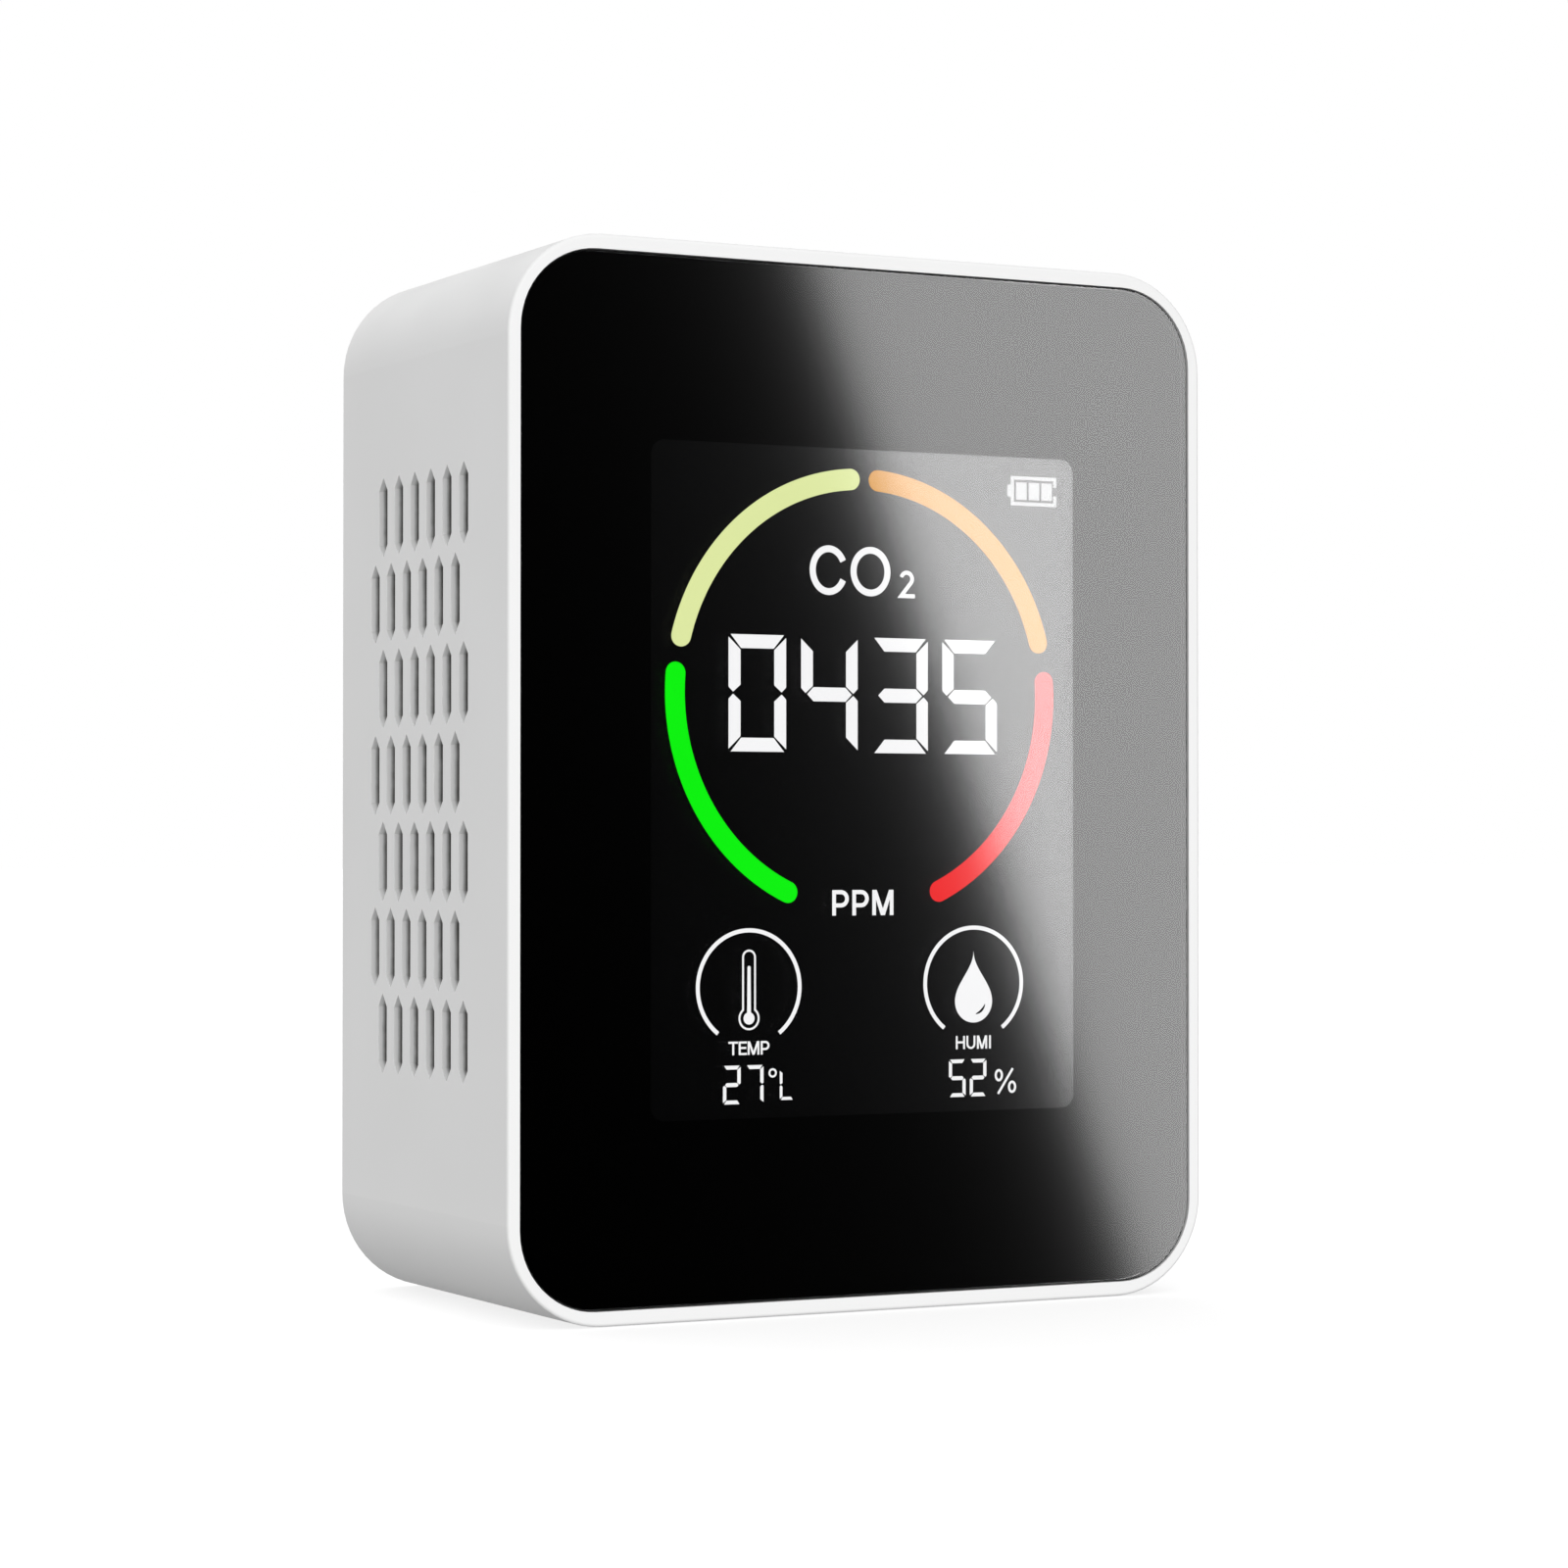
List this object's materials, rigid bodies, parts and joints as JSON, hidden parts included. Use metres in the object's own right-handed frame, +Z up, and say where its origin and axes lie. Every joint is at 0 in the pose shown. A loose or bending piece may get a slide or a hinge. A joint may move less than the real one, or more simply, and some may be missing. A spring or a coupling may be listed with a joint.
{
  "type": "carbon dioxide monitor",
  "caption": "Upright rounded desk air monitor with a full-face dark window over a segment display, slotted side vents and a rear push button beside a charging socket.",
  "frame": {"origin": "middle of the flat underside of the case", "axes": "+X to the right as the display is read, -Y out of the display face, +Z up"},
  "size_m": [0.0654, 0.0364, 0.088],
  "materials": {
    "white_plastic": "fine matte moulded",
    "smoked_window": "high gloss",
    "black_tape": "matte",
    "polarizer_film": "smooth",
    "display_glass": "polished",
    "clear_plastic": "clear",
    "white_film": "satin",
    "led_package": "gloss",
    "black_plastic": "matte",
    "tinned_metal": "bright",
    "circuit_board": "satin solder mask",
    "screw_steel": "satin",
    "chip_plastic": "matte",
    "ceramic": "satin",
    "gold_plate": "bright",
    "filter_membrane": "matte",
    "lamp_glass": "clear",
    "battery_foil": "satin foil",
    "lead_insulation": "satin",
    "white_connector": "matte",
    "ferrite": "matte",
    "ribbon_film": "satin"
  },
  "bodies": {
    "case": {"housing": "white_plastic", "rear_cover": "white_plastic", "front_window": "smoked_window", "window_tape": "black_tape", "lcd_front_polarizer": "polarizer_film", "lcd_rear_polarizer": "polarizer_film", "lcd_front_glass": "display_glass", "lcd_rear_glass": "display_glass", "backlight_guide": "clear_plastic", "light_pipe": "clear_plastic", "backlight_reflector": "white_film", "backlight_leds": "led_package", "charge_led": "led_package", "display_frame": "black_plastic", "lcd_pins": "tinned_metal", "display_board": "circuit_board", "power_board": "circuit_board", "sensor_board": "circuit_board", "battery_circuit": "circuit_board", "display_board_screws": "screw_steel", "power_board_screws": "screw_steel", "cover_screws": "screw_steel", "microcontroller": "chip_plastic", "microcontroller_leads": "tinned_metal", "charger_chip": "chip_plastic", "display_capacitors": "ceramic", "power_capacitors": "ceramic", "buzzer": "black_plastic", "climate_sensor": "tinned_metal", "sensor_headers": "black_plastic", "sensor_chamber": "gold_plate", "sensor_membrane": "filter_membrane", "sensor_lamp": "lamp_glass", "sensor_detector": "screw_steel", "battery_tape": "black_tape", "battery_cell": "battery_foil", "battery_leads": "lead_insulation", "battery_plug": "white_connector", "battery_socket": "white_connector", "power_inductor": "ferrite", "usb_shell": "screw_steel", "usb_tongue": "black_plastic", "display_link_socket": "white_connector", "power_link_socket": "white_connector", "link_ribbon": "ribbon_film", "switch_base": "black_plastic", "switch_cover": "tinned_metal", "switch_dome": "tinned_metal"},
    "button": {"power_button": "white_plastic", "switch_plunger": "black_plastic"}
  },
  "joints": [
    {"name": "button_press", "type": "slide", "parent": "case", "child": "button", "axis": [0, -1, 0], "range_m": [0, 0.0003], "stiffness_N_per_m": 1500, "springref_m": -0.0003}
  ]
}
